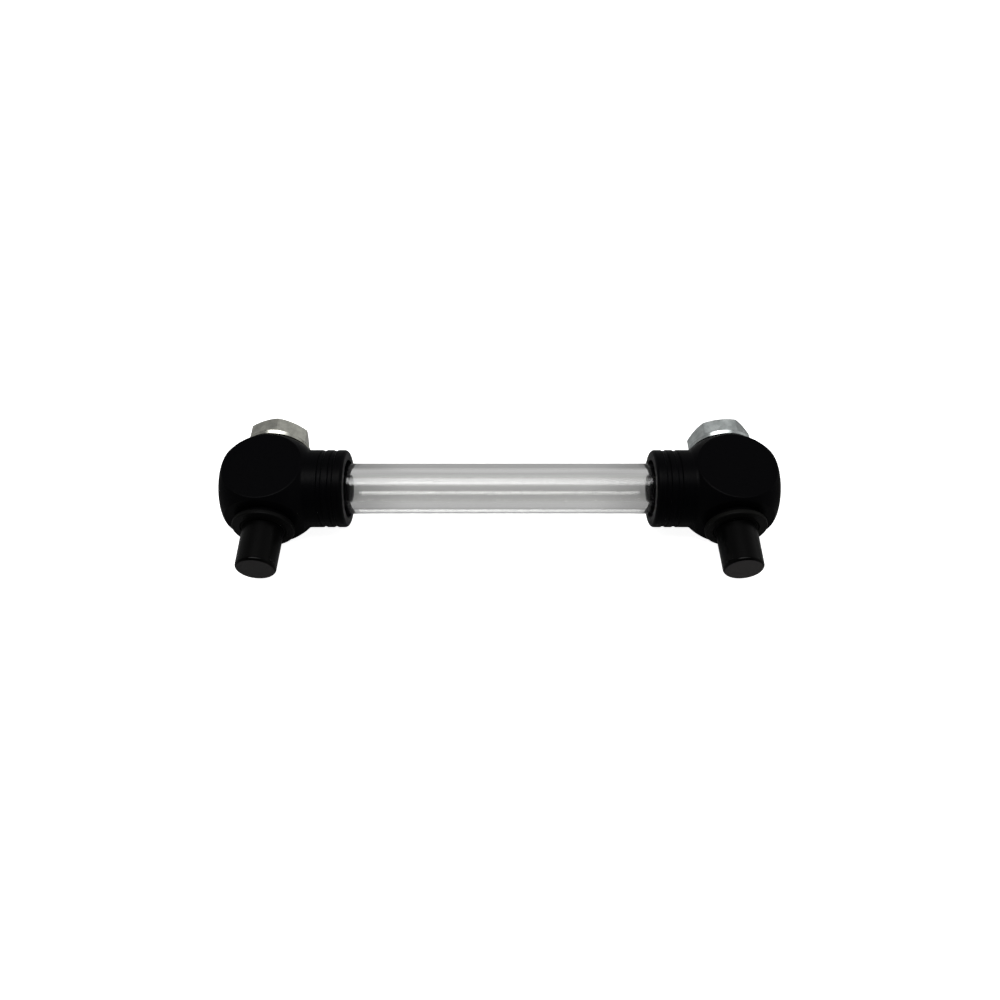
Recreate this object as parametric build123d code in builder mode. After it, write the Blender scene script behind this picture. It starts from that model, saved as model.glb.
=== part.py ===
from build123d import *
import os

# Tank level gauge: a clear sight tube held between two moulded banjo heads, each fixed to the
# tank wall by a hollow hexagon bolt. The tube runs along X, the bolts point along -Y at the tank.

# Overall layout, in millimetres.
bolt_spacing = 140.0
bolt_axis_y = 3.9

# Banjo head: a ball with four flats, a domed outer end and a collar that takes the tube.
ball_radius = 16.75
flat_distance = 12.1
flat_edge_round = 0.45
dome_radius = 30.0
dome_reach = 14.45
dome_blend = 5.0
collar_radius = 11.85
collar_reach = 23.8
collar_blend = 1.5
collar_end_round = 1.1
groove_positions = (16.9, 20.2)
groove_width = 1.6
groove_depth = 0.25
groove_wall_angle = 60.0

# Tank side of the eye: a raised land, and the bore that the bolt passes through.
land_radius = 8.0
land_height = 1.3
land_round = 0.35
eye_radius = 5.1
eye_chamfer = 0.3

# Tube socket inside the collar.
passage_radius = 3.0
socket_radius = 7.9
socket_floor = 10.2
mouth_radius = 8.9
mouth_depth = 2.2
mouth_chamfer = 1.0
ring_groove_radius = 9.55
ring_groove_width = 2.8
ring_groove_positions = (13.6, 18.65)

# Sight tube.
tube_radius = 7.75
tube_bore_radius = 4.3
tube_end_gap = 0.8
tube_end_chamfer = 0.4

# Tube O-rings, drawn as squeezed between the tube and the bottom of their grooves.
tube_ring_width = 2.2
tube_ring_corner = 0.85

# Banjo bolt, M10.
thread_radius = 4.95
bolt_reach = 26.9
bolt_tip_chamfer = 1.1
waist_radius = 3.8
waist_half_length = 5.5
waist_slope = 1.0
bolt_hole_radius = 2.3
bolt_hole_stop = -3.0
cross_hole_radius = 2.0
hexagon_across_flats = 17.0
hexagon_height = 7.1
hexagon_chamfer_radius = 8.2
hexagon_chamfer_rise = 0.95
flange_radius = 10.0
flange_edge = 0.35
flange_cone_height = 1.6
flange_cone_radius = 8.5
hexagon_turn = {"left": 22.6, "right": 10.1}

# Seals on the bolt.
head_seal_radius = 10.4
head_seal_thickness = 1.4
washer_outer_radius = 9.1
washer_inner_radius = 6.75
washer_thickness = 1.5
washer_round = 0.4
stud_ring_radius = 5.85
stud_ring_section = 0.85

# Thread cap.
cap_radius = 6.0
cap_draft = 0.7
cap_end = 28.4
cap_mouth = 15.2
cap_end_round = 0.9
cap_mouth_round = 0.25

axis_height = flat_distance
land_top = flat_distance + land_height
hexagon_seat = -(flat_distance + head_seal_thickness)
hexagon_outer = hexagon_seat - hexagon_height
flat_circle_radius = (ball_radius**2 - flat_distance**2) ** 0.5
root_x = (ball_radius**2 - collar_radius**2) ** 0.5
dome_centre_x = dome_radius - dome_reach
dome_corner_x = (ball_radius**2 - dome_radius**2 + dome_centre_x**2) / (2 * dome_centre_x)

# Each head has its own frame at the crossing of the bolt and tube axes: X points along the tube
# towards the middle of the gauge, Z points along the bolt towards the tank.
eye_frame = {
    "left": Plane(
        origin=(-bolt_spacing / 2, bolt_axis_y, axis_height),
        x_dir=(1, 0, 0),
        z_dir=(0, -1, 0),
    ),
    "right": Plane(
        origin=(bolt_spacing / 2, bolt_axis_y, axis_height),
        x_dir=(-1, 0, 0),
        z_dir=(0, -1, 0),
    ),
}

os.makedirs("parts", exist_ok=True)


def write(piece, name):
    piece.label = name
    export_step(piece, f"parts/{name}.step")


def rims_at(part, x):
    """The round edges of a turned form that lie in the plane at x."""
    return part.edges().filter_by(GeomType.CIRCLE).filter_by_position(Axis.X, x - 0.05, x + 0.05)


def circles_of(part, radius):
    """The round edges of a part that have this radius."""
    return part.edges().filter_by(GeomType.CIRCLE).filter_by(
        lambda edge: abs(edge.radius - radius) < 0.01
    )


def write_pair(piece, name):
    """Set one copy of a piece at each eye and write both."""
    for side, frame in eye_frame.items():
        with BuildPart() as placed:
            with Locations(frame.location):
                add(piece)
        write(placed.part, f"{side}_{name}")


# Banjo head. Ball, dome and collar are one turned form about the tube axis; the four flats are
# cut square to it, the land stands on the tank-side flat, and bore and socket meet inside.
with BuildPart() as head:
    with BuildSketch(Plane.XY):
        Circle(ball_radius)
        with Locations((dome_centre_x, 0)):
            Circle(dome_radius, mode=Mode.INTERSECT)
        Rectangle(collar_reach, 2 * collar_radius, align=(Align.MIN, Align.CENTER))
        with Locations([(x, collar_radius) for x in groove_positions]):
            Trapezoid(
                groove_width, groove_depth, groove_wall_angle,
                rotation=180, align=(Align.CENTER, Align.MIN), mode=Mode.SUBTRACT,
            )
        with Locations((-2 * ball_radius, 0)):
            Rectangle(
                4 * ball_radius + collar_reach, 2 * ball_radius,
                align=(Align.MIN, Align.MAX), mode=Mode.SUBTRACT,
            )
    revolve(axis=Axis.X)
    fillet(rims_at(head, dome_corner_x), dome_blend)
    fillet(rims_at(head, root_x), collar_blend)
    fillet(rims_at(head, collar_reach), collar_end_round)
    Box(4 * ball_radius, 2 * flat_distance, 2 * flat_distance, mode=Mode.INTERSECT)
    fillet(circles_of(head, flat_circle_radius), flat_edge_round)
    with BuildSketch(Plane.XY.offset(flat_distance)):
        Circle(land_radius)
    extrude(amount=land_height)
    fillet(head.faces().sort_by(Axis.Z)[-1].edges(), land_round)
    with BuildSketch(Plane.XY.offset(land_top)):
        Circle(eye_radius)
    extrude(amount=-2 * land_top, mode=Mode.SUBTRACT)
    chamfer(circles_of(head, eye_radius), eye_chamfer)
    with BuildSketch(Plane.XY) as socket_section:
        Rectangle(collar_reach, passage_radius, align=(Align.MIN, Align.MIN))
        with Locations((socket_floor, 0)):
            Rectangle(collar_reach, socket_radius, align=(Align.MIN, Align.MIN))
        with Locations([(x, 0) for x in ring_groove_positions]):
            Rectangle(ring_groove_width, ring_groove_radius, align=(Align.CENTER, Align.MIN))
        with BuildLine():
            mouth_floor = collar_reach - mouth_depth
            Polyline(
                (mouth_floor - mouth_chamfer, 0),
                (mouth_floor - mouth_chamfer, socket_radius),
                (mouth_floor, mouth_radius),
                (collar_reach + 1, mouth_radius),
                (collar_reach + 1, 0),
                close=True,
            )
        make_face()
    revolve(axis=Axis.X, mode=Mode.SUBTRACT)
write_pair(head.part, "head")


# Sight tube: one straight length of clear tube that stops just short of both socket floors.
tube_half_length = bolt_spacing / 2 - socket_floor - tube_end_gap
with BuildPart() as sight_tube:
    with BuildSketch(Plane.YZ.offset(-tube_half_length)):
        with Locations((bolt_axis_y, axis_height)):
            Circle(tube_radius)
            Circle(tube_bore_radius, mode=Mode.SUBTRACT)
    extrude(amount=2 * tube_half_length)
    chamfer(circles_of(sight_tube, tube_radius), tube_end_chamfer)
write(sight_tube.part, "sight_tube")


# Tube O-rings: two in each socket, one behind the other.
for place, groove_x in zip(("inner", "outer"), ring_groove_positions):
    with BuildPart() as tube_o_ring:
        with BuildSketch(Plane.XY):
            with Locations((groove_x, (tube_radius + ring_groove_radius) / 2)):
                RectangleRounded(
                    tube_ring_width, ring_groove_radius - tube_radius, tube_ring_corner
                )
        revolve(axis=Axis.X)
    write_pair(tube_o_ring.part, f"{place}_tube_o_ring")


# Banjo bolt: hexagon with a coned collar, waisted shank, cross hole and axial hole.
for side, turn in hexagon_turn.items():
    with BuildPart() as banjo_bolt:
        with BuildSketch(Plane.XY.offset(hexagon_outer)):
            RegularPolygon(
                hexagon_across_flats / 2, 6, major_radius=False, rotation=turn
            )
        extrude(amount=hexagon_height)
        with BuildSketch(Plane.XZ):
            with BuildLine():
                Polyline(
                    (0, hexagon_outer),
                    (hexagon_chamfer_radius, hexagon_outer),
                    (flange_radius, hexagon_outer + hexagon_chamfer_rise),
                    (flange_radius, hexagon_seat),
                    (0, hexagon_seat),
                    close=True,
                )
            make_face()
        revolve(axis=Axis.Z, mode=Mode.INTERSECT)
        with BuildSketch(Plane.XZ):
            with BuildLine():
                Polyline(
                    (0, hexagon_seat - flange_cone_height),
                    (flange_cone_radius, hexagon_seat - flange_cone_height),
                    (flange_radius, hexagon_seat - flange_edge),
                    (flange_radius, hexagon_seat),
                    (thread_radius, hexagon_seat),
                    (thread_radius, -waist_half_length - waist_slope),
                    (waist_radius, -waist_half_length),
                    (waist_radius, waist_half_length),
                    (thread_radius, waist_half_length + waist_slope),
                    (thread_radius, bolt_reach - bolt_tip_chamfer),
                    (thread_radius - bolt_tip_chamfer, bolt_reach),
                    (0, bolt_reach),
                    close=True,
                )
            make_face()
        revolve(axis=Axis.Z)
        with BuildSketch(Plane.XY.offset(bolt_hole_stop)):
            Circle(bolt_hole_radius)
        extrude(amount=bolt_reach - bolt_hole_stop, mode=Mode.SUBTRACT)
        with BuildSketch(Plane.YZ):
            Circle(cross_hole_radius)
        extrude(amount=2 * waist_radius, both=True, mode=Mode.SUBTRACT)
    with BuildPart() as placed_bolt:
        with Locations(eye_frame[side].location):
            add(banjo_bolt.part)
    write(placed_bolt.part, f"{side}_banjo_bolt")


# Head seal: flat rubber ring between the hexagon and the outer flat of the head.
with BuildPart() as head_seal:
    with BuildSketch(Plane.XY.offset(hexagon_seat)):
        Circle(head_seal_radius)
        Circle(eye_radius, mode=Mode.SUBTRACT)
    extrude(amount=head_seal_thickness)
write_pair(head_seal.part, "head_seal")


# Tank washer: ring on the land; its front face is what bears on the tank wall.
with BuildPart() as tank_washer:
    with BuildSketch(Plane.XY.offset(land_top)):
        Circle(washer_outer_radius)
        Circle(washer_inner_radius, mode=Mode.SUBTRACT)
    extrude(amount=washer_thickness)
    fillet(circles_of(tank_washer, washer_outer_radius), washer_round)
write_pair(tank_washer.part, "tank_washer")


# Stud O-ring: lies on the land inside the washer and stands proud of its face.
with BuildPart() as stud_o_ring:
    with BuildSketch(Plane.XZ):
        with Locations((stud_ring_radius, land_top + stud_ring_section)):
            Circle(stud_ring_section)
    revolve(axis=Axis.Z)
write_pair(stud_o_ring.part, "stud_o_ring")


# Thread cap: thin moulded cap pushed over the thread until the bolt tip meets its floor.
with BuildPart() as thread_cap:
    with BuildSketch(Plane.XY.offset(cap_mouth)):
        Circle(cap_radius)
    extrude(amount=cap_end - cap_mouth, taper=cap_draft)
    fillet(thread_cap.faces().sort_by(Axis.Z)[-1].edges(), cap_end_round)
    fillet(thread_cap.faces().sort_by(Axis.Z)[0].edges(), cap_mouth_round)
    with BuildSketch(Plane.XY.offset(cap_mouth)):
        Circle(thread_radius)
    extrude(amount=bolt_reach - cap_mouth, mode=Mode.SUBTRACT)
write_pair(thread_cap.part, "thread_cap")
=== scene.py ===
import math

import bpy
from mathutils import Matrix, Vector


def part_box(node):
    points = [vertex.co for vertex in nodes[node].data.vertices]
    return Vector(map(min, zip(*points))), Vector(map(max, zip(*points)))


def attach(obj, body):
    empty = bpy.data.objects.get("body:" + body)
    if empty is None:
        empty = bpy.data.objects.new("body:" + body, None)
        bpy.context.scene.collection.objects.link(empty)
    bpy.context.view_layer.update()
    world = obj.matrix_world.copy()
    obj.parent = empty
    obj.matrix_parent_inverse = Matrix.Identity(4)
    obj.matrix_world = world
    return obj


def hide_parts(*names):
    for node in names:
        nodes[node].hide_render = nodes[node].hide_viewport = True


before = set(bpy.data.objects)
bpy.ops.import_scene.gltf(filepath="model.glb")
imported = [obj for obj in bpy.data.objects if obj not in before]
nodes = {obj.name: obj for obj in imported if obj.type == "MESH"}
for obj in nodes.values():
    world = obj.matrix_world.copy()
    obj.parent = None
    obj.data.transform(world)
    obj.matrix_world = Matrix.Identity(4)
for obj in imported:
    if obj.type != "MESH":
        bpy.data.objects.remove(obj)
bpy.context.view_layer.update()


# Camera. A level gauge is shown lying flat, looked down on from the tank side, so that both
# heads, the hexagons behind them and the capped threads in front of them are in view.
mm = 0.001
camera_elevation = math.radians(55.75)
camera_distance = 240 * mm
camera_shift_right = 0.12 * mm
camera_drop = 3.50 * mm
camera_lens = 28.17

tube_low, tube_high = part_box("sight_tube")
tube_centre = (tube_low + tube_high) / 2
forward = Vector((0, math.cos(camera_elevation), -math.sin(camera_elevation)))
upward = Vector((0, math.sin(camera_elevation), math.cos(camera_elevation)))
camera_data = bpy.data.cameras.new("camera")
camera_data.lens = camera_lens
camera_data.sensor_width = 36
camera_data.clip_start = 0.01
camera = bpy.data.objects.new("camera", camera_data)
camera.location = (
    tube_centre - camera_distance * forward
    + Vector((camera_shift_right, 0, 0)) - camera_drop * upward
)
camera.rotation_euler = (math.pi / 2 - camera_elevation, 0, 0)
bpy.context.scene.collection.objects.link(camera)
bpy.context.scene.camera = camera


# Light. A long softbox above the tube draws the bright line along it; it is brightest left of the
# middle and fades to its edges. The room is dim in front and paler behind and at the sides, which
# keeps the black mouldings dark with pale edges. Seen direct, its walls are as white as the floor.
softbox_height = 600 * mm
softbox_width = 330 * mm
softbox_length = 760 * mm
softbox_power = 6.2
softbox_hot_spot = (0.38, 0.5)
softbox_fade = (0.10, 0.62)
softbox_edge = 0.15
room_front = 0.04
room_back = 0.52
room_back_turn = (-0.3, 0.6)
room_sides = 0.50
room_sides_turn = (0.3, 0.9)
room_left_share = 0.55
room_left_turn = (-0.65, 0.1)
room_through_tube = 0.55
room_wall = 1.4


def linear(hex_colour):
    """Turn an sRGB hex colour into the linear colour that a shader socket takes."""
    parts = [int(hex_colour[i:i + 2], 16) / 255 for i in (1, 3, 5)]
    return [p / 12.92 if p <= 0.04045 else ((p + 0.055) / 1.055) ** 2.4 for p in parts] + [1.0]


def add_node(tree, kind, inputs=None, **properties):
    """Add one node, set its properties, and give each named input a value or a link."""
    made = tree.nodes.new(kind)
    for name, value in properties.items():
        setattr(made, name, value)
    for name, value in (inputs or {}).items():
        if isinstance(value, bpy.types.NodeSocket):
            tree.links.new(value, made.inputs[name])
        else:
            made.inputs[name].default_value = value
    return made


softbox_data = bpy.data.lights.new("softbox", "AREA")
softbox_data.shape = "RECTANGLE"
softbox_data.size = softbox_length
softbox_data.size_y = softbox_width
softbox_data.energy = softbox_power
softbox_data.use_nodes = True
tree = softbox_data.node_tree
tree.nodes.clear()
face = add_node(tree, "ShaderNodeNewGeometry")
from_spot = add_node(tree, "ShaderNodeVectorMath", {
    0: face.outputs["Parametric"], 1: (*softbox_hot_spot, 0),
}, operation="DISTANCE")
fade = add_node(tree, "ShaderNodeMapRange", {
    "Value": from_spot.outputs["Value"], "From Min": softbox_fade[0], "From Max": softbox_fade[1],
    "To Min": 1.0, "To Max": softbox_edge,
}, interpolation_type="SMOOTHSTEP")
glow = add_node(tree, "ShaderNodeEmission", {"Strength": fade.outputs["Result"]})
add_node(tree, "ShaderNodeOutputLight", {"Surface": glow.outputs["Emission"]})
softbox = bpy.data.objects.new("softbox", softbox_data)
softbox.location = tube_centre + Vector((0, 0, softbox_height))
bpy.context.scene.collection.objects.link(softbox)

room = bpy.data.worlds.new("room")
room.use_nodes = True
tree = room.node_tree
tree.nodes.clear()
direction = add_node(tree, "ShaderNodeTexCoord")
looking = add_node(tree, "ShaderNodeSeparateXYZ", {"Vector": direction.outputs["Generated"]})
behind = add_node(tree, "ShaderNodeMapRange", {
    "Value": looking.outputs["Y"], "From Min": room_back_turn[0], "From Max": room_back_turn[1],
    "To Min": room_front, "To Max": room_back,
}, interpolation_type="SMOOTHSTEP")
sideways = add_node(tree, "ShaderNodeMath", {0: looking.outputs["X"]}, operation="ABSOLUTE")
beside = add_node(tree, "ShaderNodeMapRange", {
    "Value": sideways.outputs["Value"],
    "From Min": room_sides_turn[0], "From Max": room_sides_turn[1],
    "To Min": 0.0, "To Max": room_sides,
}, interpolation_type="SMOOTHSTEP")
room_level = add_node(tree, "ShaderNodeMath", {
    0: behind.outputs["Result"], 1: beside.outputs["Result"],
}, operation="ADD")
to_right = add_node(tree, "ShaderNodeMapRange", {
    "Value": looking.outputs["X"], "From Min": room_left_turn[0], "From Max": room_left_turn[1],
    "To Min": room_left_share, "To Max": 1.0,
}, interpolation_type="SMOOTHSTEP")
room_shared = add_node(tree, "ShaderNodeMath", {
    0: room_level.outputs["Value"], 1: to_right.outputs["Result"],
}, operation="MULTIPLY")
room_ray = add_node(tree, "ShaderNodeLightPath")
room_seen = add_node(tree, "ShaderNodeMix", {
    "Factor": room_ray.outputs["Is Transmission Ray"], "A": room_shared.outputs["Value"],
    "B": room_through_tube,
})
room_direct = add_node(tree, "ShaderNodeMix", {
    "Factor": room_ray.outputs["Is Camera Ray"], "A": room_seen.outputs["Result"], "B": room_wall,
})
room_light = add_node(tree, "ShaderNodeBackground", {"Strength": room_direct.outputs["Result"]})
add_node(tree, "ShaderNodeOutputWorld", {"Surface": room_light.outputs["Background"]})
bpy.context.scene.world = room
bpy.context.scene.view_settings.view_transform = "Standard"


# Floor. A matt white sheet on a light table. It glows, so that shadows on it stay faint. What
# shines in the mouldings is a painted grey shade of it, not its white, and what the tube bends into
# view is a painted shadow, darkest in the line under the tube and next to the heads.
floor_side = 4.0
floor_white = "#f4f4f3"
floor_glow = 0.93
floor_roughness = 0.9
floor_specular = 0.1
floor_painted_shade_levels = {"Is Diffuse Ray": 0.22, "Is Glossy Ray": 0.36}
under_tube_span = (-15 * mm, 30 * mm)
painted_tube_shadow_levels = (
    (-15, 0.49), (-6, 0.49), (-3, 0.46), (0, 0.42), (4.5, 0.36), (8, 0.40), (12, 0.47),
    (18, 0.51), (30, 0.55),
)
head_shade = 0.35
head_shade_span = (27 * mm, 47 * mm)
head_shade_fade = (12 * mm, 30 * mm)
head_shade_far = 0.35


def new_material(name):
    """Start a material with an empty node tree."""
    material = bpy.data.materials.new(name)
    material.use_nodes = True
    material.node_tree.nodes.clear()
    return material


white_sheet = new_material("matt_white_sheet")
tree = white_sheet.node_tree
sheet_surface = add_node(tree, "ShaderNodeBsdfPrincipled", {
    "Base Color": linear(floor_white), "Roughness": floor_roughness,
    "Specular IOR Level": floor_specular,
    "Emission Color": linear("#ffffff"), "Emission Strength": floor_glow,
})
# Painted shade: bounce and reflection rays see the sheet as a plain grey, not white.
ray = add_node(tree, "ShaderNodeLightPath")
sheet_now = sheet_surface.outputs["BSDF"]
for kind_of_ray, level in floor_painted_shade_levels.items():
    grey = add_node(tree, "ShaderNodeBsdfDiffuse", {"Color": (level, level, level, 1)})
    sheet_mix = add_node(tree, "ShaderNodeMixShader", {"Fac": ray.outputs[kind_of_ray]})
    tree.links.new(sheet_now, sheet_mix.inputs[1])
    tree.links.new(grey.outputs["BSDF"], sheet_mix.inputs[2])
    sheet_now = sheet_mix.outputs["Shader"]
# Painted shadow: rays through the tube see an emitted grey, darkest under the tube and next to the
# heads, in place of a real shadow.
on_floor = add_node(tree, "ShaderNodeTexCoord")
spot = add_node(tree, "ShaderNodeSeparateXYZ", {"Vector": on_floor.outputs["Object"]})
past_tube = add_node(tree, "ShaderNodeMath", {
    0: spot.outputs["Y"], 1: tube_centre.y,
}, operation="SUBTRACT")
across = add_node(tree, "ShaderNodeMapRange", {
    "Value": past_tube.outputs["Value"],
    "From Min": under_tube_span[0], "From Max": under_tube_span[1],
})
tube_shadow = add_node(tree, "ShaderNodeValToRGB", {"Fac": across.outputs["Result"]})
stops = tube_shadow.color_ramp.elements
while len(stops) < len(painted_tube_shadow_levels):
    stops.new(0.5)
for stop, (distance, level) in zip(stops, painted_tube_shadow_levels):
    stop.position = (distance * mm - under_tube_span[0]) / (under_tube_span[1] - under_tube_span[0])
    stop.color = (level, level, level, 1)
from_middle = add_node(tree, "ShaderNodeMath", {0: spot.outputs["X"]}, operation="ABSOLUTE")
near_head = add_node(tree, "ShaderNodeMapRange", {
    "Value": from_middle.outputs["Value"],
    "From Min": head_shade_span[0], "From Max": head_shade_span[1],
    "To Min": 0.0, "To Max": head_shade,
}, interpolation_type="SMOOTHSTEP")
off_line = add_node(tree, "ShaderNodeMath", {0: past_tube.outputs["Value"]}, operation="ABSOLUTE")
near_line = add_node(tree, "ShaderNodeMapRange", {
    "Value": off_line.outputs["Value"],
    "From Min": head_shade_fade[0], "From Max": head_shade_fade[1],
    "To Min": 1.0, "To Max": head_shade_far,
})
shade = add_node(tree, "ShaderNodeMath", {
    0: near_head.outputs["Result"], 1: near_line.outputs["Result"],
}, operation="MULTIPLY")
unshaded = add_node(tree, "ShaderNodeMath", {
    0: 1.0, 1: shade.outputs["Value"],
}, operation="SUBTRACT")
under_tube = add_node(tree, "ShaderNodeEmission", {
    "Color": tube_shadow.outputs["Color"], "Strength": unshaded.outputs["Value"],
})
sheet_mix = add_node(tree, "ShaderNodeMixShader", {"Fac": ray.outputs["Is Transmission Ray"]})
tree.links.new(sheet_now, sheet_mix.inputs[1])
tree.links.new(under_tube.outputs["Emission"], sheet_mix.inputs[2])
add_node(tree, "ShaderNodeOutputMaterial", {"Surface": sheet_mix.outputs["Shader"]})
half = floor_side / 2
floor_mesh = bpy.data.meshes.new("floor")
floor_mesh.from_pydata(
    [(-half, -half, 0), (half, -half, 0), (half, half, 0), (-half, half, 0)], [], [(0, 1, 2, 3)]
)
floor = bpy.data.objects.new("floor", floor_mesh)
floor.data.materials.append(white_sheet)
bpy.context.scene.collection.objects.link(floor)


# Banjo heads. Glass-filled nylon, injection moulded black in a polished tool, so the skin has a
# soft shine, slight sink marks and a fine uneven grain from the glass. The grain is drawn several
# times its real size to show, and the walls of the collar grooves are drawn a little steeper.
nylon_black = "#040405"
nylon_ior = 1.53
nylon_specular = 0.02
nylon_roughness = (0.30, 0.42)
grain_size = 0.9 * mm
grain_depth = 0.006 * mm
grain_span = (0.3, 0.7)
sink_size = 9 * mm
sink_depth = 0.05 * mm
groove_places = (49.8 * mm, 53.1 * mm)
groove_wall = (0.40 * mm, 0.80 * mm)
groove_sharpness = 0.22 * mm

moulded_nylon = new_material("glass_filled_nylon_moulded")
tree = moulded_nylon.node_tree
place = add_node(tree, "ShaderNodeTexCoord")
grain = add_node(tree, "ShaderNodeTexNoise", {
    "Vector": place.outputs["Object"], "Scale": 1 / grain_size, "Detail": 3.0, "Roughness": 0.55,
})
sink = add_node(tree, "ShaderNodeTexNoise", {
    "Vector": place.outputs["Object"], "Scale": 1 / sink_size, "Detail": 1.0,
})
gloss = add_node(tree, "ShaderNodeMapRange", {
    "Value": grain.outputs["Fac"], "From Min": grain_span[0], "From Max": grain_span[1],
    "To Min": nylon_roughness[0], "To Max": nylon_roughness[1],
})
sink_bump = add_node(tree, "ShaderNodeBump", {
    "Height": sink.outputs["Fac"], "Distance": sink_depth, "Strength": 1.0,
})
along = add_node(tree, "ShaderNodeSeparateXYZ", {"Vector": place.outputs["Object"]})
from_middle = add_node(tree, "ShaderNodeMath", {0: along.outputs["X"]}, operation="ABSOLUTE")
wall_height = None
for groove_place in groove_places:
    off_groove = add_node(tree, "ShaderNodeMath", {
        0: from_middle.outputs["Value"], 1: groove_place,
    }, operation="SUBTRACT")
    beside = add_node(tree, "ShaderNodeMath", {
        0: off_groove.outputs["Value"],
    }, operation="ABSOLUTE")
    wall = add_node(tree, "ShaderNodeMapRange", {
        "Value": beside.outputs["Value"], "From Min": groove_wall[0], "From Max": groove_wall[1],
    }, interpolation_type="SMOOTHSTEP")
    if wall_height is None:
        wall_height = wall.outputs["Result"]
    else:
        deeper = add_node(tree, "ShaderNodeMath", {
            0: wall_height, 1: wall.outputs["Result"],
        }, operation="MINIMUM")
        wall_height = deeper.outputs["Value"]
groove_bump = add_node(tree, "ShaderNodeBump", {
    "Height": wall_height, "Distance": groove_sharpness, "Strength": 1.0,
    "Normal": sink_bump.outputs["Normal"],
})
grain_bump = add_node(tree, "ShaderNodeBump", {
    "Height": grain.outputs["Fac"], "Distance": grain_depth, "Strength": 1.0,
    "Normal": groove_bump.outputs["Normal"],
})
skin = add_node(tree, "ShaderNodeBsdfPrincipled", {
    "Base Color": linear(nylon_black), "Roughness": gloss.outputs["Result"], "IOR": nylon_ior,
    "Specular IOR Level": nylon_specular, "Normal": grain_bump.outputs["Normal"],
})
add_node(tree, "ShaderNodeOutputMaterial", {"Surface": skin.outputs["BSDF"]})


def dress(name, material):
    """Give a CAD node its material in place of the plain one."""
    slots = nodes[name].data.materials
    slots.clear()
    slots.append(material)


for side in ("left", "right"):
    dress(f"{side}_head", moulded_nylon)


# Sight tube. Clear acrylic, drawn to size and polished by the die, 15.5 mm outside with a thick
# wall and pushed into both heads. Light passes through it, and the bore shows as a second pair of
# lines inside its edges. It throws no dark shadow, as clear plastic does not; the shade seen
# through it is painted into the floor.
acrylic_tint = "#fbfbfa"
acrylic_ior = 1.49
acrylic_roughness = 0.04

clear_acrylic = new_material("drawn_clear_acrylic")
tree = clear_acrylic.node_tree
glass = add_node(tree, "ShaderNodeBsdfPrincipled", {
    "Base Color": linear(acrylic_tint), "Roughness": acrylic_roughness, "IOR": acrylic_ior,
    "Transmission Weight": 1.0,
})
add_node(tree, "ShaderNodeOutputMaterial", {"Surface": glass.outputs["BSDF"]})
dress("sight_tube", clear_acrylic)
nodes["sight_tube"].visible_shadow = False


# Banjo bolts. Free-cutting steel turned from hexagon bar and bright zinc plated: pale, clouded, and
# a little warmer or bluer from bolt to bolt. A round polished collar is under the hexagon, and the
# shank is waisted, drilled for the fluid and threaded M10 into the tank wall.
bolt_sides = 144
bolt_flat_half_width = 8.5 * mm
bolt_corner_radius = 9.70 * mm
bolt_corner_turns = {"left": 22.6, "right": 10.1}
bolt_face_radius = 8.45 * mm
bolt_chamfer = 0.66 * mm
chamfer_rings = 10
bolt_head_height = 7.1 * mm
collar_height = 1.62 * mm
collar_taper = 0.42 * mm
collar_edge = 0.12 * mm
collar_step = 0.01 * mm
collar_lip = (0.06 * mm, 0.03 * mm)
shank_radius = 4.95 * mm
waist_radius = 3.8 * mm
waist_span = (9.4 * mm, -1.6 * mm)
waist_slope = 1.0 * mm
thread_pitch = 1.5 * mm
thread_depth = 0.85 * mm
thread_flank = 2.5
thread_runout = 1.5 * mm
thread_steps = 10
tip_chamfer = 1.1 * mm
bore_radius = 2.3 * mm
bore_end = 6.9 * mm
drill_length = 16 * mm
drill_sides = 48
same_point = 0.001 * mm
cross_hole_radius = 2.0 * mm
cross_hole_place = 3.9 * mm
bolt_sharp_angle = math.radians(28)
zinc_warm = ("#a9a9a1", "#bfbfb6")
zinc_blue = ("#aeb4b3", "#c4c9c8")
zinc_roughness = (0.30, 0.46)
zinc_cloud = 2.5 * mm
zinc_cloud_span = (0.35, 0.65)
zinc_dull_span = (0.3, 0.7)
zinc_speck = 0.9 * mm
zinc_speck_tones = (0.86, 1.07)
collar_roughness = 0.24
collar_gloss_edge = 0.1 * mm
turning_pitch = 0.5 * mm
turning_depth = 0.004 * mm
drawing_width = 0.4 * mm
drawing_stretch = 0.06
drawing_depth = 0.006 * mm

bolt_low, bolt_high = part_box("right_banjo_bolt")
bolt_middle = (bolt_low + bolt_high) / 2
bolt_face = bolt_high.y - same_point
bolt_seat = bolt_high.y - bolt_head_height
collar_top = bolt_seat + collar_height
collar_radius = (bolt_high.x - bolt_low.x) / 2
thread_start = waist_span[1] - waist_slope
thread_end = bolt_low.y + tip_chamfer
thread_rings = round((thread_start - thread_end) / thread_pitch * thread_steps)

# Half outline of the bolt as turned, from the middle of its outer face, round the outside and
# up the bore: radius and place along the axis. The face stays a hair inside the CAD box.
bolt_outline = [
    (0, bolt_face), (bolt_face_radius, bolt_face),
    (bolt_corner_radius, bolt_face - bolt_chamfer),
    (bolt_corner_radius, (bolt_face + collar_top) / 2), (bolt_corner_radius, collar_top),
    (bolt_corner_radius, collar_top - collar_step),
    (collar_radius - collar_lip[0], collar_top - collar_lip[1]),
    (collar_radius, collar_top - collar_edge),
    (collar_radius - collar_taper, bolt_seat + collar_edge),
    (collar_radius - collar_taper - collar_edge, bolt_seat),
    (shank_radius, bolt_seat), (shank_radius, waist_span[0] + waist_slope),
    (waist_radius, waist_span[0]), (waist_radius, waist_span[1]),
]
for step in range(thread_rings + 1):
    bolt_outline.append((
        shank_radius, thread_start + (thread_end - thread_start) * step / thread_rings,
    ))
bolt_outline += [
    (shank_radius - tip_chamfer, bolt_low.y), (bore_radius, bolt_low.y), (bore_radius, bore_end),
    (0, bore_end),
]
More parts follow.
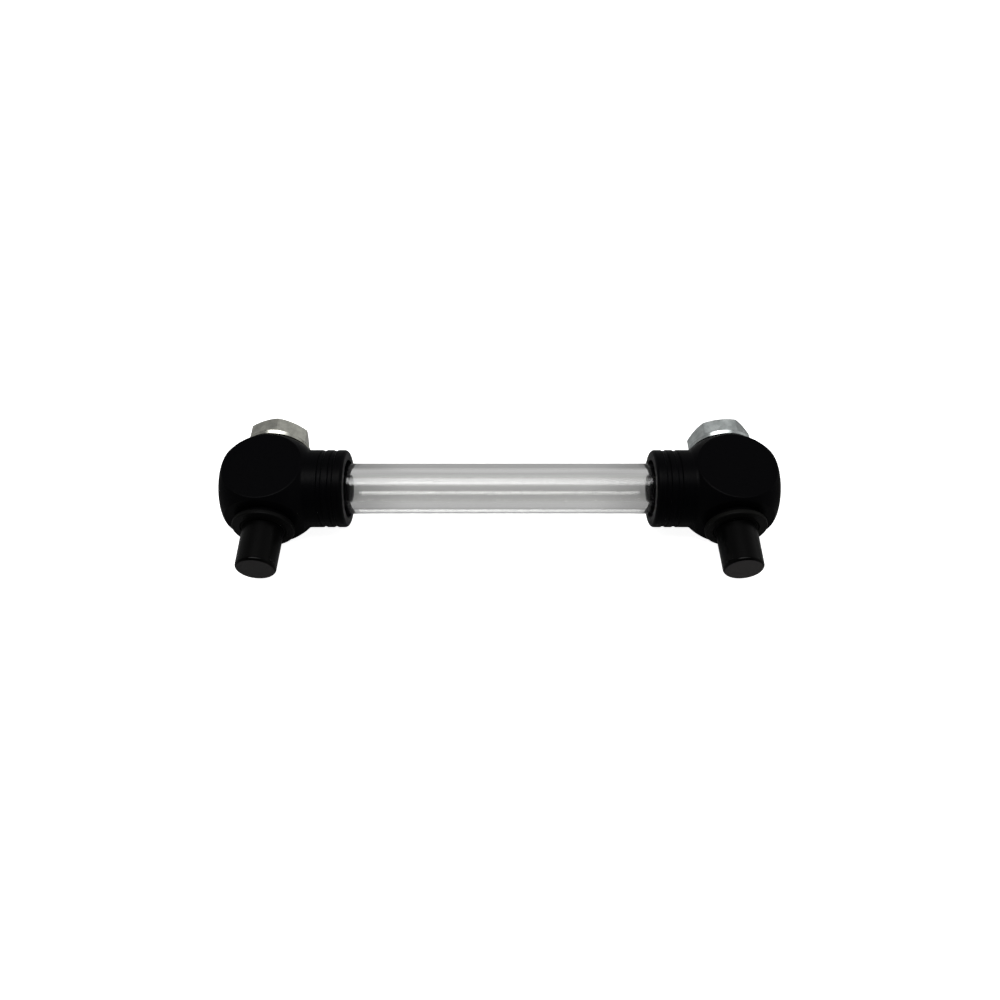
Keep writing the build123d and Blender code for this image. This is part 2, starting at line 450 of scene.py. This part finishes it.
# The flats cut the cone of the chamfer in a curve, which takes rings between face and corners.
bolt_outline[2:2] = [
    (
        bolt_face_radius + (bolt_corner_radius - bolt_face_radius) * step / chamfer_rings,
        bolt_face - bolt_chamfer * step / chamfer_rings,
    )
    for step in range(1, chamfer_rings)
]

turning = bpy.data.node_groups.new("turned_hexagon_bolt", "GeometryNodeTree")
turning.interface.new_socket("Outline", in_out="INPUT", socket_type="NodeSocketGeometry")
turning.interface.new_socket("Bolt", in_out="OUTPUT", socket_type="NodeSocketGeometry")
bolt_sizes = {
    "Axis Z": bolt_middle.z, "Flat Half Width": bolt_flat_half_width, "Collar Top": collar_top,
    "Thread Pitch": thread_pitch, "Thread Depth": thread_depth, "Thread Run-out": thread_runout,
    "Thread Start": thread_start, "Thread End": thread_end,
    "Cross Hole Radius": cross_hole_radius, "Cross Hole Place": cross_hole_place,
}
bolt_inputs = {
    name: turning.interface.new_socket(
        name, in_out="INPUT", socket_type="NodeSocketFloat"
    ).identifier
    for name in ("Axis X", "Corner Turn", *bolt_sizes)
}
bolt_inputs["Finish"] = turning.interface.new_socket(
    "Finish", in_out="INPUT", socket_type="NodeSocketMaterial"
).identifier
given = add_node(turning, "NodeGroupInput")
size = given.outputs

# Every point of a grid is one angle round one ring of the outline.
ring_count = add_node(turning, "GeometryNodeAttributeDomainSize", {
    "Geometry": size["Outline"],
}, component="MESH")
blank = add_node(turning, "GeometryNodeMeshGrid", {
    "Vertices X": ring_count.outputs["Point Count"], "Vertices Y": bolt_sides + 1,
})
number = add_node(turning, "GeometryNodeInputIndex")
ring_share = add_node(turning, "ShaderNodeMath", {
    0: number.outputs["Index"], 1: bolt_sides + 1,
}, operation="DIVIDE")
ring = add_node(turning, "ShaderNodeMath", {0: ring_share.outputs["Value"]}, operation="FLOOR")
step_round = add_node(turning, "ShaderNodeMath", {
    0: number.outputs["Index"], 1: bolt_sides + 1,
}, operation="MODULO")
angle = add_node(turning, "ShaderNodeMath", {
    0: step_round.outputs["Value"], 1: 2 * math.pi / bolt_sides,
}, operation="MULTIPLY")
outline_point = add_node(turning, "GeometryNodeInputPosition")
on_outline = add_node(turning, "GeometryNodeSampleIndex", data_type="FLOAT_VECTOR")
turning.links.new(size["Outline"], on_outline.inputs["Geometry"])
turning.links.new(outline_point.outputs["Position"], on_outline.inputs["Value"])
turning.links.new(ring.outputs["Value"], on_outline.inputs["Index"])
outline_at = add_node(turning, "ShaderNodeSeparateXYZ", {"Vector": on_outline.outputs["Value"]})

# Above the collar the six flats cut the round bar.
in_sixth = add_node(turning, "ShaderNodeMath", {
    0: angle.outputs["Value"], 1: math.pi / 3,
}, operation="MODULO")
off_flat = add_node(turning, "ShaderNodeMath", {
    0: in_sixth.outputs["Value"], 1: math.pi / 6,
}, operation="SUBTRACT")
flat_lean = add_node(turning, "ShaderNodeMath", {0: off_flat.outputs["Value"]}, operation="COSINE")
flat_radius = add_node(turning, "ShaderNodeMath", {
    0: size["Flat Half Width"], 1: flat_lean.outputs["Value"],
}, operation="DIVIDE")
milled = add_node(turning, "ShaderNodeMath", {
    0: outline_at.outputs["X"], 1: flat_radius.outputs["Value"],
}, operation="MINIMUM")
to_collar = add_node(turning, "ShaderNodeMath", {
    0: size["Collar Top"], 1: collar_step / 2,
}, operation="SUBTRACT")
on_hexagon = add_node(turning, "ShaderNodeMath", {
    0: outline_at.outputs["Y"], 1: to_collar.outputs["Value"],
}, operation="GREATER_THAN")
plain_radius = add_node(turning, "ShaderNodeMix", {
    "Factor": on_hexagon.outputs["Value"], "A": outline_at.outputs["X"],
    "B": milled.outputs["Value"],
})

# The thread is one groove that winds round the shank and runs out at both ends.
below_start = add_node(turning, "ShaderNodeMath", {
    0: size["Thread Start"], 1: outline_at.outputs["Y"],
}, operation="SUBTRACT")
above_end = add_node(turning, "ShaderNodeMath", {
    0: outline_at.outputs["Y"], 1: size["Thread End"],
}, operation="SUBTRACT")
to_end = add_node(turning, "ShaderNodeMath", {
    0: below_start.outputs["Value"], 1: above_end.outputs["Value"],
}, operation="MINIMUM")
cut_share = add_node(turning, "ShaderNodeMath", {
    0: to_end.outputs["Value"], 1: size["Thread Run-out"],
}, operation="DIVIDE", use_clamp=True)
cut_depth = add_node(turning, "ShaderNodeMath", {
    0: cut_share.outputs["Value"], 1: size["Thread Depth"],
}, operation="MULTIPLY")
pitches = add_node(turning, "ShaderNodeMath", {
    0: outline_at.outputs["Y"], 1: size["Thread Pitch"],
}, operation="DIVIDE")
wound = add_node(turning, "ShaderNodeMath", {
    0: angle.outputs["Value"], 1: 1 / (2 * math.pi), 2: pitches.outputs["Value"],
}, operation="MULTIPLY_ADD")
along_turn = add_node(turning, "ShaderNodeMath", {
    0: wound.outputs["Value"], 1: 0.5,
}, operation="PINGPONG")
groove_shape = add_node(turning, "ShaderNodeMath", {
    0: along_turn.outputs["Value"], 1: -thread_flank, 2: 1.0,
}, operation="MULTIPLY_ADD", use_clamp=True)
groove_cut = add_node(turning, "ShaderNodeMath", {
    0: groove_shape.outputs["Value"], 1: cut_depth.outputs["Value"],
}, operation="MULTIPLY")
radius = add_node(turning, "ShaderNodeMath", {
    0: plain_radius.outputs["Result"], 1: groove_cut.outputs["Value"],
}, operation="SUBTRACT")

# Each point is swung round the axis to its angle, and the cross hole is drilled through.
spoke = add_node(turning, "ShaderNodeCombineXYZ", {
    "X": radius.outputs["Value"], "Y": outline_at.outputs["Y"],
})
turned_angle = add_node(turning, "ShaderNodeMath", {
    0: angle.outputs["Value"], 1: size["Corner Turn"],
}, operation="ADD")
swing = add_node(turning, "ShaderNodeVectorRotate", {
    "Vector": spoke.outputs["Vector"], "Angle": turned_angle.outputs["Value"],
}, rotation_type="Y_AXIS", invert=True)
bolt_axis = add_node(turning, "ShaderNodeCombineXYZ", {"X": size["Axis X"], "Z": size["Axis Z"]})
swept = add_node(turning, "GeometryNodeSetPosition", {
    "Geometry": blank.outputs["Mesh"], "Position": swing.outputs["Vector"],
    "Offset": bolt_axis.outputs["Vector"],
})
closed = add_node(turning, "GeometryNodeMergeByDistance", {
    "Geometry": swept.outputs["Geometry"], "Distance": same_point,
})
outward = add_node(turning, "GeometryNodeFlipFaces", {"Mesh": closed.outputs["Geometry"]})
drill = add_node(turning, "GeometryNodeMeshCylinder", {
    "Vertices": drill_sides, "Radius": size["Cross Hole Radius"], "Depth": drill_length,
})
drill_place = add_node(turning, "ShaderNodeCombineXYZ", {
    "X": size["Axis X"], "Y": size["Cross Hole Place"], "Z": size["Axis Z"],
})
drill_set = add_node(turning, "GeometryNodeTransform", {
    "Geometry": drill.outputs["Mesh"], "Translation": drill_place.outputs["Vector"],
    "Rotation": (0, math.pi / 2, 0),
})
drilled = add_node(turning, "GeometryNodeMeshBoolean", {
    "Mesh 1": outward.outputs["Mesh"], "Mesh 2": drill_set.outputs["Geometry"],
}, operation="DIFFERENCE", solver="EXACT")
rounded = add_node(turning, "GeometryNodeSetShadeSmooth", {"Geometry": drilled.outputs["Mesh"]})
whole = add_node(turning, "GeometryNodeRealizeInstances", {"Geometry": rounded.outputs["Geometry"]})
plated = add_node(turning, "GeometryNodeSetMaterial", {
    "Geometry": whole.outputs["Geometry"], "Material": size["Finish"],
})
add_node(turning, "NodeGroupOutput", {"Bolt": plated.outputs["Geometry"]})


def set_pair(mix, pair):
    """Give a colour Mix node its two colours, as values or as links."""
    for name, value in zip(("A", "B"), pair):
        socket = next(i for i in mix.inputs if i.name == name and i.type == "RGBA")
        if isinstance(value, bpy.types.NodeSocket):
            mix.id_data.links.new(value, socket)
        else:
            socket.default_value = value


# Turned faces keep rings about the bolt axis and the flats keep the drawing lines of the bar. Both
# are coarser here than on a real bolt, so that they show.
zinc_plate = new_material("bright_zinc_plated_steel")
tree = zinc_plate.node_tree
place = add_node(tree, "ShaderNodeTexCoord")
along = add_node(tree, "ShaderNodeSeparateXYZ", {"Vector": place.outputs["Object"]})
facing = add_node(tree, "ShaderNodeSeparateXYZ", {"Vector": place.outputs["Normal"]})
cloud = add_node(tree, "ShaderNodeTexNoise", {
    "Vector": place.outputs["Object"], "Scale": 1 / zinc_cloud, "Detail": 4.0,
})
tones = []
for dull, pale in (zinc_warm, zinc_blue):
    tone = add_node(tree, "ShaderNodeValToRGB", {"Fac": cloud.outputs["Fac"]})
    tone.color_ramp.elements[0].color = linear(dull)
    tone.color_ramp.elements[1].color = linear(pale)
    tone.color_ramp.elements[0].position = zinc_cloud_span[0]
    tone.color_ramp.elements[1].position = zinc_cloud_span[1]
    tones.append(tone)
which_bolt = add_node(tree, "ShaderNodeMath", {
    0: along.outputs["X"], 1: 0.0,
}, operation="GREATER_THAN")
tint = add_node(tree, "ShaderNodeMix", {"Factor": which_bolt.outputs["Value"]}, data_type="RGBA")
set_pair(tint, [tone.outputs["Color"] for tone in tones])
speck = add_node(tree, "ShaderNodeTexNoise", {
    "Vector": place.outputs["Object"], "Scale": 1 / zinc_speck, "Detail": 3.0, "Roughness": 0.7,
})
speck_tone = add_node(tree, "ShaderNodeMapRange", {
    "Value": speck.outputs["Fac"],
    "From Min": zinc_cloud_span[0], "From Max": zinc_cloud_span[1],
    "To Min": zinc_speck_tones[0], "To Max": zinc_speck_tones[1],
})
specked = add_node(tree, "ShaderNodeVectorMath", {
    0: tint.outputs["Result"], "Scale": speck_tone.outputs["Result"],
}, operation="SCALE")
dull_shine = add_node(tree, "ShaderNodeMapRange", {
    "Value": cloud.outputs["Fac"],
    "From Min": zinc_dull_span[0], "From Max": zinc_dull_span[1],
    "To Min": zinc_roughness[0], "To Max": zinc_roughness[1],
})
off_collar = add_node(tree, "ShaderNodeMapRange", {
    "Value": along.outputs["Y"],
    "From Min": collar_top - collar_gloss_edge, "From Max": collar_top,
})
shine = add_node(tree, "ShaderNodeMapRange", {
    "Value": off_collar.outputs["Result"],
    "To Min": collar_roughness, "To Max": dull_shine.outputs["Result"],
})
mirrored_x = add_node(tree, "ShaderNodeMath", {0: along.outputs["X"]}, operation="ABSOLUTE")
off_x = add_node(tree, "ShaderNodeMath", {
    0: mirrored_x.outputs["Value"], 1: bolt_middle.x,
}, operation="SUBTRACT")
off_z = add_node(tree, "ShaderNodeMath", {
    0: along.outputs["Z"], 1: bolt_middle.z,
}, operation="SUBTRACT")
off_axis = add_node(tree, "ShaderNodeCombineXYZ", {
    "X": off_x.outputs["Value"], "Z": off_z.outputs["Value"],
})
radius = add_node(tree, "ShaderNodeVectorMath", {0: off_axis.outputs["Vector"]}, operation="LENGTH")
ring_angle = add_node(tree, "ShaderNodeMath", {
    0: radius.outputs["Value"], 1: 2 * math.pi / turning_pitch,
}, operation="MULTIPLY")
rings = add_node(tree, "ShaderNodeMath", {0: ring_angle.outputs["Value"]}, operation="SINE")
end_on = add_node(tree, "ShaderNodeMath", {0: facing.outputs["Y"]}, operation="ABSOLUTE")
ring_height = add_node(tree, "ShaderNodeMath", {
    0: rings.outputs["Value"], 1: end_on.outputs["Value"],
}, operation="MULTIPLY")
drawn = add_node(tree, "ShaderNodeMapping", {
    "Vector": place.outputs["Object"], "Scale": (1, drawing_stretch, 1),
})
drawn_lines = add_node(tree, "ShaderNodeTexNoise", {
    "Vector": drawn.outputs["Vector"], "Scale": 1 / drawing_width, "Detail": 2.0,
})
line_bump = add_node(tree, "ShaderNodeBump", {
    "Height": drawn_lines.outputs["Fac"], "Distance": drawing_depth, "Strength": 1.0,
})
zinc_bump = add_node(tree, "ShaderNodeBump", {
    "Height": ring_height.outputs["Value"], "Distance": turning_depth, "Strength": 1.0,
    "Normal": line_bump.outputs["Normal"],
})
plate = add_node(tree, "ShaderNodeBsdfPrincipled", {
    "Base Color": specked.outputs["Vector"], "Metallic": 1.0, "Roughness": shine.outputs["Result"],
    "Normal": zinc_bump.outputs["Normal"],
})
add_node(tree, "ShaderNodeOutputMaterial", {"Surface": plate.outputs["BSDF"]})
for side in ("left", "right"):
    bolt_mesh = bpy.data.meshes.new(f"{side}_bolt")
    bolt_mesh.from_pydata(
        [(reach, place_along, 0) for reach, place_along in bolt_outline],
        [(step, step + 1) for step in range(len(bolt_outline) - 1)], [],
    )
    bolt = bpy.data.objects.new(f"{side}_bolt", bolt_mesh)
    bpy.context.scene.collection.objects.link(bolt)
    turner = bolt.modifiers.new("turning", "NODES")
    turner.node_group = turning
    this_bolt = {
        "Axis X": -bolt_middle.x if side == "left" else bolt_middle.x,
        "Corner Turn": math.radians(bolt_corner_turns[side]), "Finish": zinc_plate,
    }
    for name, value in (bolt_sizes | this_bolt).items():
        turner[bolt_inputs[name]] = value
    seen = bpy.context.evaluated_depsgraph_get()
    bolt_mesh = bpy.data.meshes.new_from_object(bolt.evaluated_get(seen))
    bolt.modifiers.clear()
    bolt.data = bolt_mesh
    bolt_mesh.name = f"{side}_bolt"
    bolt_mesh.set_sharp_from_angle(angle=bolt_sharp_angle)
    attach(bolt, "root")
    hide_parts(f"{side}_banjo_bolt")


# Seals. Nitrile rubber, moulded in steel tools and a little dusty, so its shine is soft. A flat
# ring sits under each hexagon, an O-ring round each stud, and two O-rings grip each tube end.
rubber_black = "#040404"
rubber_roughness = 0.5
rubber_ior = 1.52
rubber_specular = 0.02
rubber_grain_size = 0.4 * mm
rubber_grain_depth = 0.01 * mm

nitrile = new_material("moulded_nitrile_rubber")
tree = nitrile.node_tree
place = add_node(tree, "ShaderNodeTexCoord")
rubber_grain = add_node(tree, "ShaderNodeTexNoise", {
    "Vector": place.outputs["Object"], "Scale": 1 / rubber_grain_size, "Detail": 3.0,
})
rubber_bump = add_node(tree, "ShaderNodeBump", {
    "Height": rubber_grain.outputs["Fac"], "Distance": rubber_grain_depth, "Strength": 1.0,
})
rubber = add_node(tree, "ShaderNodeBsdfPrincipled", {
    "Base Color": linear(rubber_black), "Roughness": rubber_roughness, "IOR": rubber_ior,
    "Specular IOR Level": rubber_specular, "Normal": rubber_bump.outputs["Normal"],
})
add_node(tree, "ShaderNodeOutputMaterial", {"Surface": rubber.outputs["BSDF"]})
for side in ("left", "right"):
    for seal in ("inner_tube_o_ring", "outer_tube_o_ring", "head_seal", "stud_o_ring"):
        dress(f"{side}_{seal}", nitrile)


# Tank washers. Plain black nylon rings, punched from sheet and laid round the stud O-rings: a
# little duller than the heads, with a fine grain. The right one is painted paler, as painted light
# for the brighter light it catches.
# Painted light: the paler black of the right washer stands in for the brighter light on that side.
washer_black_and_painted_light = ("#090909", "#0f0f0e")
washer_roughness = 0.38
washer_specular = 0.04
washer_grain = 0.5 * mm
washer_grain_depth = 0.008 * mm

punched_nylon = new_material("punched_nylon_sheet")
tree = punched_nylon.node_tree
place = add_node(tree, "ShaderNodeTexCoord")
side_to_side = add_node(tree, "ShaderNodeSeparateXYZ", {"Vector": place.outputs["Object"]})
on_right = add_node(tree, "ShaderNodeMath", {
    0: side_to_side.outputs["X"], 1: 0.0,
}, operation="GREATER_THAN")
washer_tone_and_painted_light = add_node(tree, "ShaderNodeMix", {
    "Factor": on_right.outputs["Value"],
}, data_type="RGBA")
set_pair(washer_tone_and_painted_light, [linear(tone) for tone in washer_black_and_painted_light])
washer_fine = add_node(tree, "ShaderNodeTexNoise", {
    "Vector": place.outputs["Object"], "Scale": 1 / washer_grain, "Detail": 2.0,
})
washer_bump = add_node(tree, "ShaderNodeBump", {
    "Height": washer_fine.outputs["Fac"], "Distance": washer_grain_depth, "Strength": 1.0,
})
washer_skin = add_node(tree, "ShaderNodeBsdfPrincipled", {
    "Base Color": washer_tone_and_painted_light.outputs["Result"], "Roughness": washer_roughness,
    "IOR": nylon_ior, "Specular IOR Level": washer_specular,
    "Normal": washer_bump.outputs["Normal"],
})
add_node(tree, "ShaderNodeOutputMaterial", {"Surface": washer_skin.outputs["BSDF"]})
for side in ("left", "right"):
    dress(f"{side}_tank_washer", punched_nylon)


# Thread caps. Soft black polyethylene, moulded and pushed over the threads: shiny on the side and
# at the lip, matt and a little scratched on the end, where it has rubbed on the packing. The end's
# lighter grey is partly that rubbed skin and partly a painted reflection of the pale floor, and the
# right end is painted paler still, as painted light.
cap_black = "#020202"
# Painted light: the ends' grey is partly a painted reflection of the floor, and the right end is
# painted paler.
cap_end_grey_and_painted_light = ("#343333", "#4a4848")
cap_ior = 1.51
cap_specular = 0.06
cap_roughness = 0.30
cap_end_roughness = 0.6
cap_end_skin = 0.12 * mm
cap_lip = (1.3 * mm, 0.8 * mm)
cap_lip_roughness = 0.12
scratch_width = 0.22 * mm
scratch_stretch = 0.05
scratch_turns = (25, 70, -40)
scratch_span = (0.68, 0.74)
scratch_depth = 0.01 * mm

cap_low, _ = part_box("left_thread_cap")

polyethylene = new_material("moulded_polyethylene")
tree = polyethylene.node_tree
place = add_node(tree, "ShaderNodeTexCoord")
along = add_node(tree, "ShaderNodeSeparateXYZ", {"Vector": place.outputs["Object"]})
on_end = add_node(tree, "ShaderNodeMapRange", {
    "Value": along.outputs["Y"], "From Min": cap_low.y + cap_end_skin, "From Max": cap_low.y,
})
scratch_height = None
for turn in scratch_turns:
    turned = add_node(tree, "ShaderNodeMapping", {
        "Vector": place.outputs["Object"], "Rotation": (0, math.radians(turn), 0),
    })
    drawn_out = add_node(tree, "ShaderNodeMapping", {
        "Vector": turned.outputs["Vector"], "Scale": (1, 1, scratch_stretch),
    })
    scratch = add_node(tree, "ShaderNodeTexNoise", {
        "Vector": drawn_out.outputs["Vector"], "Scale": 1 / scratch_width, "Detail": 1.0,
    })
    thin = add_node(tree, "ShaderNodeMapRange", {
        "Value": scratch.outputs["Fac"],
        "From Min": scratch_span[0], "From Max": scratch_span[1],
    })
    if scratch_height is None:
        scratch_height = thin.outputs["Result"]
    else:
        both = add_node(tree, "ShaderNodeMath", {
            0: scratch_height, 1: thin.outputs["Result"],
        }, operation="MAXIMUM")
        scratch_height = both.outputs["Value"]
scratched = add_node(tree, "ShaderNodeMath", {
    0: scratch_height, 1: on_end.outputs["Result"],
}, operation="MULTIPLY")
scratch_bump = add_node(tree, "ShaderNodeBump", {
    "Height": scratched.outputs["Value"], "Distance": scratch_depth, "Strength": 1.0,
}, invert=True)
on_right = add_node(tree, "ShaderNodeMath", {
    0: along.outputs["X"], 1: 0.0,
}, operation="GREATER_THAN")
# The end colour by side: the right end's paler grey is painted light.
end_skin_and_painted_light = add_node(tree, "ShaderNodeMix", {
    "Factor": on_right.outputs["Value"],
}, data_type="RGBA")
set_pair(end_skin_and_painted_light, [linear(tone) for tone in cap_end_grey_and_painted_light])
cap_colour = add_node(tree, "ShaderNodeMix", {"Factor": on_end.outputs["Result"]}, data_type="RGBA")
set_pair(cap_colour, [linear(cap_black), end_skin_and_painted_light.outputs["Result"]])
lip_gloss = add_node(tree, "ShaderNodeMapRange", {
    "Value": along.outputs["Y"],
    "From Min": cap_low.y + cap_lip[0], "From Max": cap_low.y + cap_lip[1],
    "To Min": cap_roughness, "To Max": cap_lip_roughness,
})
cap_gloss = add_node(tree, "ShaderNodeMapRange", {
    "Value": on_end.outputs["Result"],
    "To Min": lip_gloss.outputs["Result"], "To Max": cap_end_roughness,
})
cap_skin = add_node(tree, "ShaderNodeBsdfPrincipled", {
    "Base Color": cap_colour.outputs["Result"], "Roughness": cap_gloss.outputs["Result"],
    "IOR": cap_ior, "Specular IOR Level": cap_specular,
    "Normal": scratch_bump.outputs["Normal"],
})
add_node(tree, "ShaderNodeOutputMaterial", {"Surface": cap_skin.outputs["BSDF"]})
for side in ("left", "right"):
    dress(f"{side}_thread_cap", polyethylene)
